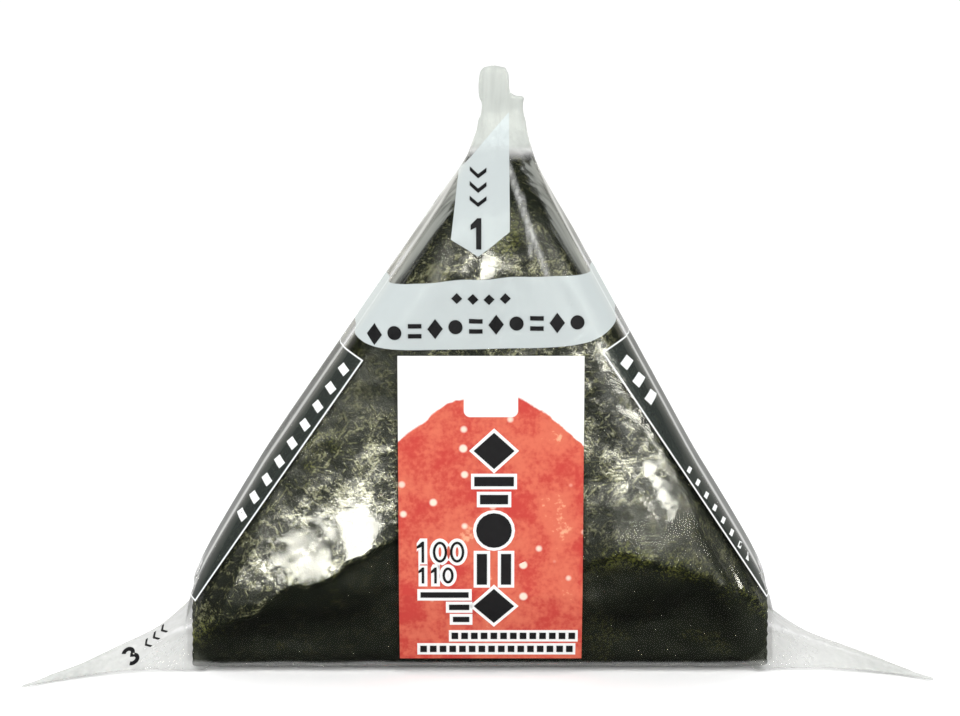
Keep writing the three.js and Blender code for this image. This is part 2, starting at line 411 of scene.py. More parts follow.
# Creases run from the neck and from the ears over the faces; between them the film is crumpled.
bearing = np.arctan2(x - HEAD_SHIFT, NECK_Z + 3 * MM - z)
reach = np.hypot(x - HEAD_SHIFT, NECK_Z - z)
rays = crumpled(np.column_stack((bearing * 5, reach / (45 * MM), 3 * facing)), 1, 3)
rise = RAY_HEIGHT * rays * bell(reach - 18 * MM, 22 * MM) * on_face
taut = 1 - 0.2 * gleam(x, y, z)
rise += CRUMPLE_HEIGHT * crumpled(places, CRUMPLE_SIZE, 4) * grip * on_face * uncovered * taut
rise += TAIL_PLEAT_HEIGHT * np.sin((x - neck_x) / (0.5 * MM) + 2 * facing) * tail
for side in (-1, 1):
    inwards = 52 * MM - side * x
    ear_bearing = np.arctan2(z - 3 * MM, inwards)
    ear_reach = np.hypot(z - 3 * MM, inwards)
    pleats = EAR_PLEAT_HEIGHT * pleat(ear_bearing * 8 + side + facing)
    rise += pleats * bell(ear_reach - 8 * MM, 10 * MM) * on_face
before_tips = 1 - step(np.abs(x), 62 * MM, 70 * MM)
rise += EAR_WAVE_HEIGHT * np.sin(y / (2.1 * MM) + x / (9 * MM)) * ears * before_tips
crease_haze_and_glint = np.zeros(len(x))
# Near the top the creases are painted whitish: partly doubled film, partly a painted highlight along
# each crease.
hazy = 0.06 + 0.69 * step(z, 56 * MM, 60 * MM)
# Each crease: X and Z of its start and of its end and its width in millimetres, and its strength.
CREASES = (
    ((3.2, 84), (11.4, 62), 0.22, 1.0),
    ((6.4, 78), (8.2, 66), 0.2, 0.5),
    ((-2, 80), (-14, 62), 0.6, 0.2),
    ((15, 56), (31, 24), 2.2, 1.3),
    ((20, 46), (27, 30), 1.0, 0.5),
    ((22, 46), (40, 16), 0.8, 0.4),
    ((45, 12), (32, 24), 0.7, 0.5),
    ((46.5, 13), (39, 11), 0.9, 0.14),
    ((45.5, 15), (42, 8), 0.7, 0.16),
    ((-16, 58), (-30, 34), 0.6, 0.2),
    ((-45, 12), (-30, 20), 0.7, 0.4),
)
for start, end, width, strength in CREASES:
    start, end = np.array(start) * MM, np.array(end) * MM
    line = crease(x, z, start, end, width * MM) * (facing < 0) * uncovered
    line += crease(-x, z, start, end, width * MM) * (facing > 0)
    rise += CREASE_HEIGHT * strength * MM * line * on_face
    crease_haze_and_glint = np.maximum(crease_haze_and_glint, strength * line * np.maximum(on_face, z > 58 * MM))
rise += swell(x, y, z) * on_face
places = places + normals * rise[:, None]
places[:, 2] = stretched(places[:, 2], STRETCH_TAIL_FROM, TAIL_REACH)
places[:, 0] = stretched(places[:, 0], STRETCH_EARS_FROM, EAR_REACH)
places[:, 0] = -stretched(-places[:, 0], STRETCH_EARS_FROM, EAR_REACH)
set_points(film.data, places)
apply_modifier(film, "SMOOTH", factor=0.5, iterations=1)

# The film is hazy where it is doubled: in the ears, at the neck, under the foot and in its creases; near
# the top the creases' whitish haze is also a painted highlight along them.
# Along both edges of the block's head it is pleated into a grey veil.
under = 0.2 * (1 - step(z, 1.4 * MM, 2.3 * MM))
pinched = 0.22 + 0.38 * step(np.abs(x), 53 * MM, 64 * MM)
haze = np.maximum.reduce([step(z, 81 * MM, 84 * MM), pinched * ears, hazy * crease_haze_and_glint, under])
veil = (1 - step(edge_room, 0, 3.5 * MM)) * step(z, 54 * MM, 60 * MM) * (1 - step(z, 80 * MM, 83 * MM))
veil *= 0.25 + 0.75 * step(np.abs(normals[:, 1]), 0.05, 0.4)
# The ears and the tail don't shine; the rest does where it mirrors the window.
matte = np.maximum(step(np.abs(x), 44 * MM, 46 * MM) * (1 - step(z, 14 * MM, 16 * MM)), tail)
sheen = np.maximum(gleam(x, y, z), 1 - step(np.abs(normals[:, 1]), 0.6, 0.9))


def keep_values(piece, **values):
    """Stores values for each point on a smooth piece, for its material to read."""
    for name, each in values.items():
        attribute = piece.data.attributes.new(name, "FLOAT", "POINT")
        attribute.data.foreach_set("value", each.astype(np.float32))
    piece.data.polygons.foreach_set("use_smooth", [True] * len(piece.data.polygons))


def stored(tree, name):
    """The values that a piece stores under a name."""
    return add(tree, "ShaderNodeAttribute", attribute_name=name).outputs["Fac"]


keep_values(film, grip=grip, haze=haze, veil=veil, matte=matte, sheen=sheen)

# The print on the film is fields of pale, white and dark ink, by place: a band across the block, an
# arrow tab below the neck and a thin frame with a dark field down each slope, round to the back.
SHARP = 0.06
FRAME_LINE = 0.13


def place_in_mm(tree):
    """X and Z of a surface point in millimetres, and Y from the block's middle."""
    at = add(tree, "ShaderNodeTexCoord").outputs["Object"]
    scaled = add(tree, "ShaderNodeVectorMath", {0: at, 3: 1 / MM}, operation="SCALE").outputs[0]
    parts = add(tree, "ShaderNodeSeparateXYZ", {0: scaled})
    deep = sum_of(tree, "SUBTRACT", parts.outputs["Y"], BLOCK_Y / MM)
    return parts.outputs["X"], deep, parts.outputs["Z"]


def line_height(tree, x, z, start, end):
    """How far a point lies to the left of the line from start to end, in millimetres."""
    run = Vector(end) - Vector(start)
    run.normalize()
    rise = sum_of(tree, "MULTIPLY", z, run.x)
    rise = sum_of(tree, "MULTIPLY_ADD", x, -run.y, rise)
    return sum_of(tree, "ADD", rise, start[0] * run.y - start[1] * run.x)


def lowest(tree, heights):
    """The least of several values."""
    result = heights[0]
    for height in heights[1:]:
        result = sum_of(tree, "MINIMUM", result, height)
    return result


print_group = bpy.data.node_groups.new("film_print", "ShaderNodeTree")
for field in ("Pale", "White", "Dark"):
    print_group.interface.new_socket(field, in_out="OUTPUT", socket_type="NodeSocketFloat")
tree = print_group
x, deep, z = place_in_mm(tree)
# The band: its upper edge is a shallow arch, and its lower edge turns up at both ends.
arch = sum_of(tree, "MULTIPLY_ADD", sum_of(tree, "MULTIPLY", x, x), -0.0025, 64.3)
arch = sum_of(tree, "MULTIPLY_ADD", x, 0.06, arch)
turned_up = sum_of(tree, "POWER", sum_of(tree, "ABSOLUTE", sum_of(tree, "MULTIPLY", x, 1 / 20)), 6)
sill = sum_of(tree, "MULTIPLY_ADD", turned_up, 2.2, 53.3)
sill = sum_of(tree, "MULTIPLY_ADD", x, 0.02, sill)
band = lowest(tree, [sum_of(tree, "SUBTRACT", arch, z), sum_of(tree, "SUBTRACT", z, sill)])
# The tab: a strip cut aslant at the top, with a point at the bottom, on the front alone.
TAB = ((-0.3, 67.7), (4.6, 71.4), (4.6, 88.5), (-3.4, 79.6), (-4.5, 70.3))
sides = [line_height(tree, x, z, start, end) for start, end in zip(TAB, TAB[1:] + TAB[:1])]
tab = lowest(tree, sides + [sum_of(tree, "MULTIPLY", deep, -1)])
pale = ramp(tree, sum_of(tree, "MAXIMUM", band, tab), -SHARP, SHARP)
# Where the film turns over the slopes the frames follow it, so that their short ends stay straight.
turned_back = sum_of(tree, "SUBTRACT", 16.5, sum_of(tree, "ABSOLUTE", deep))
turned_back = sum_of(tree, "MINIMUM", sum_of(tree, "MAXIMUM", turned_back, 0), 14)
seen_z = sum_of(tree, "MULTIPLY_ADD", turned_back, 0.21, z)
# Each frame is given by the top and the foot of its inner long side.
LEFT_FRAME = ((-18.3, 51.6), (-45.5, 12.4))
RIGHT_FRAME = ((19.1, 52.9), (45.9, 13.0))
white = None
dark = None
for inner_top, inner_foot in (LEFT_FRAME, RIGHT_FRAME):
    side = math.copysign(1, inner_top[0])
    run = (Vector(inner_foot) - Vector(inner_top)).normalized()
    out = Vector((side * abs(run.y), abs(run.x)))
    length = (Vector(inner_foot) - Vector(inner_top)).length

    def reach_along(axis, sign=1):
        value = sum_of(tree, "MULTIPLY", seen_z, sign * axis.y)
        value = sum_of(tree, "MULTIPLY_ADD", x, sign * axis.x, value)
        return sum_of(tree, "ADD", value, -sign * Vector(inner_top).dot(axis))

    down = reach_along(run)
    inside = lowest(tree, [reach_along(out), down, sum_of(tree, "SUBTRACT", length, down)])
    line = ramp(tree, sum_of(tree, "ABSOLUTE", inside), FRAME_LINE + SHARP, FRAME_LINE - SHARP)
    field = ramp(tree, inside, -SHARP, SHARP)
    white = line if white is None else sum_of(tree, "MAXIMUM", white, line)
    dark = field if dark is None else sum_of(tree, "MAXIMUM", dark, field)
add(tree, "NodeGroupOutput", {"Pale": pale, "White": white, "Dark": dark})

DARK_PRINT = (0.035, 0.042, 0.038)
PALE_PRINT = (0.64, 0.70, 0.70)
WHITE_PRINT = (0.86, 0.88, 0.88)
CLEAR_FILM = (0.04, 0.04, 0.035)
MILKY_FILM = (0.90, 0.91, 0.89)
DOUBLED_FILM = (0.58, 0.61, 0.575)
# Painted reflection: the pale colour of the film seen edge on.
PAINTED_EDGE_REFLECTION = (0.62, 0.63, 0.61)
DARK_PLEAT = (0.05, 0.055, 0.047)
PALE_PLEAT = (0.36, 0.375, 0.345)

material = bpy.data.materials.new("film")
tree = nodes_of(material)
printed = add(tree, "ShaderNodeGroup", node_tree=print_group)
pressed = stored(tree, "grip")
haze = stored(tree, "haze")
veil = stored(tree, "veil")
matte = stored(tree, "matte")
sheen = stored(tree, "sheen")
at = add(tree, "ShaderNodeTexCoord").outputs["Object"]
# Pressed on the seaweed the film takes its grain; where it spans a gap it is drawn into streaks that
# run up the slopes to the neck.
grain = add(tree, "ShaderNodeTexNoise", {"Vector": at, "Scale": 1300, "Detail": 4, "Roughness": 0.7})
x, deep, z = place_in_mm(tree)
from_middle = sum_of(tree, "MULTIPLY_ADD", z, -0.035, x)
across = sum_of(tree, "MULTIPLY", sum_of(tree, "MINIMUM", z, 80), SLOPE_RUN)
across = sum_of(tree, "ADD", across, sum_of(tree, "ABSOLUTE", from_middle))
which = sum_of(tree, "MULTIPLY_ADD", sum_of(tree, "SIGN", from_middle), 7, deep)
drawn = add(tree, "ShaderNodeCombineXYZ", {0: across, 1: sum_of(tree, "MULTIPLY", z, 0.05), 2: which})
streaks = add(tree, "ShaderNodeTexNoise", {"Vector": drawn.outputs[0], "Scale": 0.9, "Detail": 3})
streaks = streaks.outputs["Fac"]
ripples = add(tree, "ShaderNodeTexNoise", {"Vector": at, "Scale": 150, "Detail": 2, "Roughness": 0.5})
unprinted = sum_of(tree, "MULTIPLY_ADD", printed.outputs["Pale"], -0.95, 1)
pressed = sum_of(tree, "MULTIPLY", pressed, unprinted)
height = sum_of(tree, "MULTIPLY", grain.outputs["Fac"], sum_of(tree, "MULTIPLY", pressed, 0.1))
height = sum_of(tree, "MULTIPLY_ADD", ripples.outputs["Fac"], 0.6, height)
height = sum_of(tree, "MULTIPLY_ADD", streaks, sum_of(tree, "MULTIPLY", haze, 1.0), height)
bump = add(tree, "ShaderNodeBump", {"Height": height, "Strength": 1.0, "Distance": 0.3 * MM})
bump = bump.outputs[0]
fresnel = add(tree, "ShaderNodeFresnel", {"IOR": 1.4, "Normal": bump}).outputs[0]
crinkles = add(tree, "ShaderNodeTexNoise", {"Vector": at, "Scale": 480, "Detail": 4, "Roughness": 0.6})
crinkles = ramp(tree, crinkles.outputs["Fac"], 0.3, 0.7)
crinkles = sum_of(tree, "MAXIMUM", crinkles, matte)
haziness = sum_of(tree, "MULTIPLY", haze, sum_of(tree, "MULTIPLY_ADD", streaks, 0.6, 0.3))
haziness = sum_of(tree, "MULTIPLY_ADD", sum_of(tree, "MULTIPLY", haze, crinkles), 0.6, haziness)
clear = sum_of(tree, "MULTIPLY_ADD", haziness, 0.76, 0.06)
glossy = sum_of(tree, "MULTIPLY", ramp(tree, haze, 0.4, 0.12), sum_of(tree, "SUBTRACT", 1, matte))
edge = sum_of(tree, "MULTIPLY", fresnel, sum_of(tree, "MULTIPLY_ADD", glossy, 1.0, 0.3))
cover = sum_of(tree, "ADD", edge, clear, clamp=True)
veiled = sum_of(tree, "MULTIPLY_ADD", sum_of(tree, "SUBTRACT", streaks, 0.5), 1.1, veil)
veiled = sum_of(tree, "MULTIPLY", ramp(tree, veiled, 0.12, 0.75), ramp(tree, veil, 0, 0.2))
cover = sum_of(tree, "MAXIMUM", cover, sum_of(tree, "MULTIPLY", veiled, 0.75))
# Seen edge on, at the outline, the film and its dark print are painted pale: a painted reflection of the
# white surround.
facing = add(tree, "ShaderNodeLayerWeight", {"Blend": 0.5}).outputs["Facing"]
edge_on = ramp(tree, facing, 0.6, 1.0)
dark = sum_of(tree, "MULTIPLY", printed.outputs["Dark"], sum_of(tree, "MULTIPLY_ADD", edge_on, -0.8, 1))
cover = sum_of(tree, "MAXIMUM", cover, sum_of(tree, "MULTIPLY", dark, 0.88))
cover = sum_of(tree, "MAXIMUM", cover, sum_of(tree, "MULTIPLY", printed.outputs["Pale"], 0.84))
cover = sum_of(tree, "MAXIMUM", cover, printed.outputs["White"])
milk = blend(tree, ramp(tree, haze, 0, 0.15), CLEAR_FILM, MILKY_FILM)
milk = blend(tree, ramp(tree, haze, 0.4, 0.95), milk, DOUBLED_FILM)
milk = blend(tree, edge_on, milk, PAINTED_EDGE_REFLECTION)
ink = blend(tree, dark, milk, DARK_PRINT)
outer = sum_of(tree, "MULTIPLY_ADD", veil, 0.5, sum_of(tree, "MULTIPLY", streaks, 1.6))
pleats = blend(tree, ramp(tree, outer, 0.75, 1.45), DARK_PLEAT, PALE_PLEAT)
ink = blend(tree, veiled, ink, pleats)
ink = blend(tree, printed.outputs["Pale"], ink, PALE_PRINT)
ink = blend(tree, printed.outputs["White"], ink, WHITE_PRINT)
# It shines where the window is mirrored, less so on ink, in a pleat and at the top of the head.
inked = sum_of(tree, "MAXIMUM", printed.outputs["Pale"], printed.outputs["White"])
shine = sum_of(tree, "MULTIPLY_ADD", inked, -0.985, 1)
shine = sum_of(tree, "MULTIPLY", shine, glossy)
scuffs = add(tree, "ShaderNodeTexNoise", {"Vector": at, "Scale": 900, "Detail": 4, "Roughness": 0.8})
sheen = sum_of(tree, "MULTIPLY_ADD", scuffs.outputs["Fac"], 1.3, sum_of(tree, "SUBTRACT", sheen, 0.65))
sheen = ramp(tree, sheen, 0.34, 0.56)
shine = sum_of(tree, "MULTIPLY", shine, sum_of(tree, "MULTIPLY_ADD", printed.outputs["Dark"], -0.88, 1))
shine = sum_of(tree, "MULTIPLY", shine, sum_of(tree, "MULTIPLY_ADD", sheen, 0.93, 0.07))
shine = sum_of(tree, "MULTIPLY", shine, sum_of(tree, "MULTIPLY_ADD", ramp(tree, z, 66, 70), -0.75, 1))
shine = sum_of(tree, "MULTIPLY", shine, sum_of(tree, "MULTIPLY_ADD", veiled, -0.6, 1))
plastic = add(
    tree,
    "ShaderNodeBsdfPrincipled",
    {
        "Base Color": ink,
        "Roughness": 0.35,
        "IOR": 1.5,
        "Specular IOR Level": 0.08,
        "Alpha": cover,
        "Coat Weight": shine,
        "Coat Roughness": 0.10,
        "Coat IOR": 3.6,
        "Normal": bump,
        "Coat Normal": bump,
    },
)
add(tree, "ShaderNodeOutputMaterial", {0: plastic.outputs[0]})
film.data.materials.append(material)
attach(film, "root")
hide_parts("film_pack")

# The rice block in its seaweed: the same form a little smaller, cut off below the neck and at the
# ears, drawn in from the slopes, folded over along the foot and crumpled.
NORI_TOP = 82 * MM
NORI_HALF = 46.9 * MM
NORI_FOOT_Z = 0.4 * MM
NORI_VOXEL = 0.55 * MM
THINNER = 1 - 0.6 / 17.2
NORI_CUTS = (
    ((0, 0, NORI_TOP), (0, 0, 1)),
    ((4.3 * MM, 0, NORI_TOP), (-0.29, 0, 0.96)),
    ((6.4 * MM, 0, NORI_TOP), (0.67, 0, 0.74)),
    ((NORI_HALF, 0, 0), (1, 0, 0)),
    ((-NORI_HALF, 0, 0), (-1, 0, 0)),
)
nori = merged_copy("film_pack", "seaweed_wrap")


def cut_off(piece, place, outwards):
    """Cuts away what lies beyond a plane, and closes the cut."""
    deselect()
    bpy.context.view_layer.objects.active = piece
    piece.select_set(True)
    bpy.ops.object.mode_set(mode="EDIT")
    bpy.ops.mesh.select_all(action="SELECT")
    bpy.ops.mesh.bisect(plane_co=place, plane_no=outwards, use_fill=True, clear_outer=True)
    bpy.ops.object.mode_set(mode="OBJECT")


for place, outwards in NORI_CUTS:
    cut_off(nori, place, outwards)
apply_modifier(nori, "REMESH", mode="VOXEL", voxel_size=NORI_VOXEL)
apply_modifier(nori, "SMOOTH", factor=0.5, iterations=8)
smooth_where(nori, points_of(nori.data)[:, 2] > CROWN_FROM_Z, 40)

places = points_of(nori.data)
normals = normals_of(nori.data)
x, z = places[:, 0], places[:, 2]
y = places[:, 1] - BLOCK_Y
seen_x = np.where(y < 0, x, -x)
on_face = step(np.abs(normals[:, 1]), 0.4, 0.9)
above = z - fold_line(seen_x)
# The leaf folded up over the foot lies deeper than the face; its end shows as a low step.
foot = 1 - step(above, -0.8 * MM, 0)
turned_in = 1 - step(seen_x, -39.8 * MM, -39.3 * MM)
rise = swell(x, y, z) - (0.7 - 0.45 * turned_in) * MM * foot
rise += 0.22 * MM * crumpled(places, 7 * MM, 4) + 0.09 * MM * crumpled(places, 2.6 * MM, 3)
# The leaf's cut edge at each end of the foot is ragged.
at_end = step(np.abs(x), 45.6 * MM, 46.6 * MM)
teeth = 0.3 * MM * np.abs(((z / MM) % 1.5) - 0.75) * at_end
room = half_width(z)
gap = 0.4 * MM + 0.5 * MM * step(z, 14 * MM, 22 * MM) * (1 - step(z, 62 * MM, 70 * MM))
shrink = 1 - gap / np.maximum(room, 6 * MM)
middle = head_shift(z)
places = places + normals * (rise * on_face)[:, None]
places[:, 0] = middle + (x - middle) * shrink - np.sign(x) * teeth
places[:, 1] = BLOCK_Y + (places[:, 1] - BLOCK_Y) * THINNER
places[:, 2] = NORI_FOOT_Z + z * (NORI_TOP - NORI_FOOT_Z) / NORI_TOP
set_points(nori.data, places)
apply_modifier(
    nori,
    "SHRINKWRAP",
    target=film,
    wrap_method="NEAREST_SURFACEPOINT",
    wrap_mode="INSIDE",
    offset=0.12 * MM,
)
# Painted shade: the folded leaf under the foot, the head, the sides and two patches beside the label are
# painted darker than the rest, and shine less.
lit = 0.03 + 0.97 * step(above, -0.5 * MM, 0.6 * MM)
lit *= 1 - 0.5 * step(z, 66 * MM, 71 * MM)
lit *= 0.6 + 0.4 * step(room - np.abs(x - middle), 5 * MM, 11 * MM)
upper_left = step(-seen_x, 8 * MM, 14 * MM) * step(z, 36 * MM, 45 * MM) * (1 - step(z, 56 * MM, 60 * MM))
lower_right = step(seen_x, 15 * MM, 19 * MM) * (1 - step(z, 26 * MM, 33 * MM))
lit *= 1 - 0.7 * upper_left
lit *= 1 - 0.72 * lower_right
gloss = 0.22 + 0.78 * gleam(x, y, z) ** 0.4
# Along the fold, at the sides, the leaf is painted yellow-green where the fold's edge catches the light:
# leaf colour with a painted highlight.
at_sides = np.maximum(step(seen_x, 14 * MM, 24 * MM), 1 - step(seen_x, -43 * MM, -37 * MM))
hem = bell(above, 1.7 * MM) * at_sides
keep_values(nori, lit=lit, gloss=gloss, hem=hem)

DARK_LEAF = (0.004, 0.006, 0.003)
GREEN_LEAF = (0.15, 0.155, 0.062)
STRAND = (0.34, 0.35, 0.16)
PALE_FLECK = (0.42, 0.42, 0.24)
YELLOW_LEAF = (0.28, 0.30, 0.06)

material = bpy.data.materials.new("seaweed")
tree = nodes_of(material)
at = add(tree, "ShaderNodeTexCoord").outputs["Object"]
# Scraps of leaf laid every way: dark ones, mid-green ones and pale flecks, and here and there a thin
# place that is yellow-green. The leaf folded under the foot is painted almost black: painted shade.
lit = stored(tree, "lit")


def mottle(tree, at, scale, **sockets):
    """Noise of one size."""
    values = {"Vector": at, "Scale": scale, "Detail": 5, "Roughness": 0.7} | sockets
    return add(tree, "ShaderNodeTexNoise", values).outputs["Fac"]


clumps = mottle(tree, at, 400, Detail=4, Roughness=0.6, Distortion=0.6)
scraps = mottle(tree, at, 1450, Detail=3, Distortion=1.5)
specks = mottle(tree, at, 2700, Detail=2)
regions = mottle(tree, at, 85, Detail=4, Roughness=0.6)


def fibres(tree, at, degrees):
    """Noise drawn out along one direction of the face."""
    drawn = {"Vector": at, "Rotation": (0, math.radians(degrees), 0), "Scale": (1, 1, 4)}
    drawn = add(tree, "ShaderNodeMapping", drawn, vector_type="TEXTURE").outputs[0]
    return mottle(tree, drawn, 1500, Detail=2)


tone = sum_of(tree, "MULTIPLY_ADD", regions, 0.7, clumps)
mixed = sum_of(tree, "MULTIPLY_ADD", scraps, 0.9, tone)
strands = fibres(tree, at, 38)
for degrees in (-32, 84):
    strands = sum_of(tree, "MAXIMUM", strands, fibres(tree, at, degrees))
strands = ramp(tree, strands, 0.60, 0.70)
mixed = sum_of(tree, "MULTIPLY_ADD", strands, 0.16, mixed)
# Painted shade: where the mask is low, the green, the strands, the pale flecks and the yellow-green are
# painted darker.
mid = sum_of(tree, "MULTIPLY", ramp(tree, mixed, 1.30, 1.60), lit)
leaf = blend(tree, mid, DARK_LEAF, GREEN_LEAF)
lit_strands = sum_of(tree, "MULTIPLY", strands, sum_of(tree, "MULTIPLY", lit, 0.55))
leaf = blend(tree, lit_strands, leaf, STRAND)
pale = sum_of(tree, "MULTIPLY_ADD", specks, 0.9, mixed)
pale = ramp(tree, pale, 1.84, 2.08)
leaf = blend(tree, sum_of(tree, "MULTIPLY", pale, lit), leaf, PALE_FLECK)
thin = ramp(tree, mottle(tree, at, 70, Detail=3), 0.58, 0.68)
flecks = sum_of(tree, "MULTIPLY_ADD", specks, 0.5, scraps)
thin = sum_of(tree, "MULTIPLY", thin, ramp(tree, flecks, 0.72, 0.86))
thin = sum_of(tree, "MULTIPLY", thin, sum_of(tree, "MULTIPLY_ADD", lit, 0.75, 0.1))
# The yellow-green along the fold is partly a painted highlight.
hem = stored(tree, "hem")
patches = ramp(tree, sum_of(tree, "MULTIPLY_ADD", regions, 0.8, flecks), 1.16, 1.34)
hem = sum_of(tree, "MULTIPLY", hem, patches)
thin = sum_of(tree, "MAXIMUM", thin, sum_of(tree, "MULTIPLY", hem, 0.8))
leaf = blend(tree, thin, leaf, YELLOW_LEAF)
# The scraps that lie uppermost shine where they face the window.
glaze = sum_of(tree, "MULTIPLY_ADD", ramp(tree, mixed, 1.2, 1.6), 0.92, 0.03)
gloss = stored(tree, "gloss")
glaze = sum_of(tree, "MULTIPLY", glaze, sum_of(tree, "MULTIPLY", lit, gloss))
bump = add(tree, "ShaderNodeBump", {"Height": mixed, "Strength": 1.0, "Distance": 0.10 * MM})
wet = add(
    tree,
    "ShaderNodeBsdfPrincipled",
    {
        "Base Color": leaf,
        "Roughness": 0.5,
        "Specular IOR Level": 0.2,
        "Coat Weight": glaze,
        "Coat IOR": 2.5,
        "Coat Roughness": 0.25,
        "Normal": bump.outputs[0],
        "Coat Normal": bump.outputs[0],
    },
)
add(tree, "ShaderNodeOutputMaterial", {0: wet.outputs[0]})
nori.data.materials.append(material)
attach(nori, "root")
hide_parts("film_pack")

# The paper label: a white sheet with a red-orange field that has an uneven top, all printed.
PAPER_WHITE = (0.93, 0.93, 0.91)
DEEP_RED = (0.53, 0.05, 0.04)
RED = (0.68, 0.15, 0.09)
PALE_RED = (0.86, 0.42, 0.26)
SEED = (0.92, 0.74, 0.62)
PEAK_X = 1.5
PATCH_X = 1.7
PATCH_Z = 47

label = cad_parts["paper_label"]
material = bpy.data.materials.new("label")
tree = nodes_of(material)
x, deep, z = place_in_mm(tree)
at = add(tree, "ShaderNodeTexCoord").outputs["Object"]
wander = mottle(tree, at, 140, Detail=4, Roughness=0.6)
off_peak = sum_of(tree, "SUBTRACT", x, PEAK_X)
top = sum_of(tree, "MULTIPLY_ADD", sum_of(tree, "MULTIPLY", off_peak, off_peak), -0.038, 44.7)
top = sum_of(tree, "MULTIPLY_ADD", wander, 3, top)
field = ramp(tree, sum_of(tree, "SUBTRACT", top, z), -0.15, 0.25)
shades = mottle(tree, at, 170, Detail=4, Roughness=0.6)
grains = mottle(tree, at, 1500, Detail=2, Roughness=0.5)
seeds = add(tree, "ShaderNodeTexVoronoi", {"Vector": at, "Scale": 420, "Randomness": 1.0}).outputs
shades = sum_of(tree, "MULTIPLY_ADD", grains, 0.35, shades)
red = blend(tree, ramp(tree, shades, 0.50, 0.80), DEEP_RED, RED)
red = blend(tree, ramp(tree, shades, 0.82, 0.95), red, PALE_RED)
few = add(tree, "ShaderNodeSeparateColor", {0: seeds["Color"]}).outputs[0]
seed = sum_of(tree, "MULTIPLY", ramp(tree, seeds["Distance"], 0.34, 0.18), ramp(tree, few, 0.84, 0.86))
red = blend(tree, seed, red, SEED)
# A bare white patch with round corners stands over the top of the red field.
beside = sum_of(tree, "ABSOLUTE", sum_of(tree, "SUBTRACT", x, PATCH_X))
beside = sum_of(tree, "SUBTRACT", beside, 3.2)
below = sum_of(tree, "ABSOLUTE", sum_of(tree, "SUBTRACT", z, PATCH_Z))
below = sum_of(tree, "SUBTRACT", below, 3.3)
beside = sum_of(tree, "MAXIMUM", beside, 0)
below = sum_of(tree, "MAXIMUM", below, 0)
beyond = sum_of(tree, "MULTIPLY_ADD", beside, beside, sum_of(tree, "MULTIPLY", below, below))
field = sum_of(tree, "MULTIPLY", field, ramp(tree, beyond, 0.9, 1.2))
colour = blend(tree, field, PAPER_WHITE, red)
paper = add(
    tree,
    "ShaderNodeBsdfPrincipled",
    {"Base Color": colour, "Roughness": 0.45, "Specular IOR Level": 0.2},
)
add(tree, "ShaderNodeOutputMaterial", {0: paper.outputs[0]})
for slot in label.material_slots:
    slot.material = material

# The ink marks: plain numerals, chevrons, lozenges, discs and bars, cut from flat outlines, laid on
# the front of the film and of the label and made as thick as a coat of ink.
INK = 0.04 * MM
PITCH = 0.9
STAND_OFF = 50 * MM
BLACK_INK = (0.008, 0.008, 0.009)
WHITE_INK = (0.86, 0.88, 0.87)


def oval(x, z, wide, high, steps=20):
    turns = [2 * math.pi * i / steps for i in range(steps)]
    return [(x + wide / 2 * math.cos(a), z + high / 2 * math.sin(a)) for a in turns]


def lozenge(x, z, wide, high):
    return [(x + wide / 2, z), (x, z + high / 2), (x - wide / 2, z), (x, z - high / 2)]


def bar(x, z, wide, high):
    return [(x + i * wide / 2, z + j * high / 2) for i, j in ((1, 1), (-1, 1), (-1, -1), (1, -1))]


def chevron(x, z, wide, high, line):
    left, right, top = x - wide / 2, x + wide / 2, z + high
    under = [(left, top), (x, z), (right, top)]
    return under + [(right, top + line), (x, z + line), (left, top + line)]


def stroke(points, line):
    """The outline of a pen stroke along a row of points."""
    points = np.array(points)
    runs = np.gradient(points, axis=0)
    runs /= np.hypot(runs[:, 0], runs[:, 1])[:, None]
    beside = np.column_stack((-runs[:, 1], runs[:, 0])) * line / 2
    return [tuple(point) for point in (*(points + beside), *(points - beside)[::-1])]


def turned(outlines, x, z, degrees):
    """Outlines turned about a place."""
    cos, sin = math.cos(math.radians(degrees)), math.sin(math.radians(degrees))
    return [
        [(x + (u - x) * cos - (v - z) * sin, z + (u - x) * sin + (v - z) * cos) for u, v in outline]
        for outline in outlines
    ]


def zero(x, z, high, line):
    wide = 0.62 * high
    return [oval(x, z, wide + line, high + line, 28), oval(x, z, wide - line, high - line, 28)]


def one(x, z, high, line):
    """A plain 1: an upright with a flag."""
    top, foot, half = z + high / 2 + line / 2, z - high / 2 - line / 2, line / 2
    flag = 0.32 * high
    return [[
        (x + half, foot), (x + half, top), (x - half * 0.6, top), (x - flag, top - 0.8 * flag),
        (x - flag, top - 0.8 * flag - line), (x - half, top - 0.45 * flag - line), (x - half, foot),
    ]]


def three(x, z, high, line):
    """A plain 3: two bows, one on the other."""
    bow = high / 4
    upper = [math.radians(a) for a in range(150, -61, -15)]
    lower = [math.radians(a) for a in range(60, -151, -15)]
    points = [(x + 1.1 * bow * math.cos(a), z + bow + bow * math.sin(a)) for a in upper]
    points.append((x + 0.3 * bow, z))
    points += [(x + 1.25 * bow * math.cos(a), z - bow + bow * math.sin(a)) for a in lower]
    return [stroke(points, line)]


def flat_piece(name, outlines):
    """One flat mesh in the plane of the front from outlines in millimetres."""
    curve = bpy.data.curves.new(name, "CURVE")
    curve.dimensions = "2D"
    curve.fill_mode = "BOTH"
    for outline in outlines:
        spline = curve.splines.new("POLY")
        spline.points.add(len(outline) - 1)
        for point, (x, z) in zip(spline.points, outline):
            point.co = (x * MM, z * MM, 0, 1)
        spline.use_cyclic_u = True
    piece = bpy.data.objects.new(name, curve)
    bpy.context.collection.objects.link(piece)
    deselect()
    piece.select_set(True)
    bpy.context.view_layer.objects.active = piece
    bpy.ops.object.convert(target="MESH")
    piece = bpy.context.object
    piece.rotation_euler = (math.radians(90), 0, 0)
    bpy.ops.object.transform_apply(location=True, rotation=True, scale=True)
    return piece


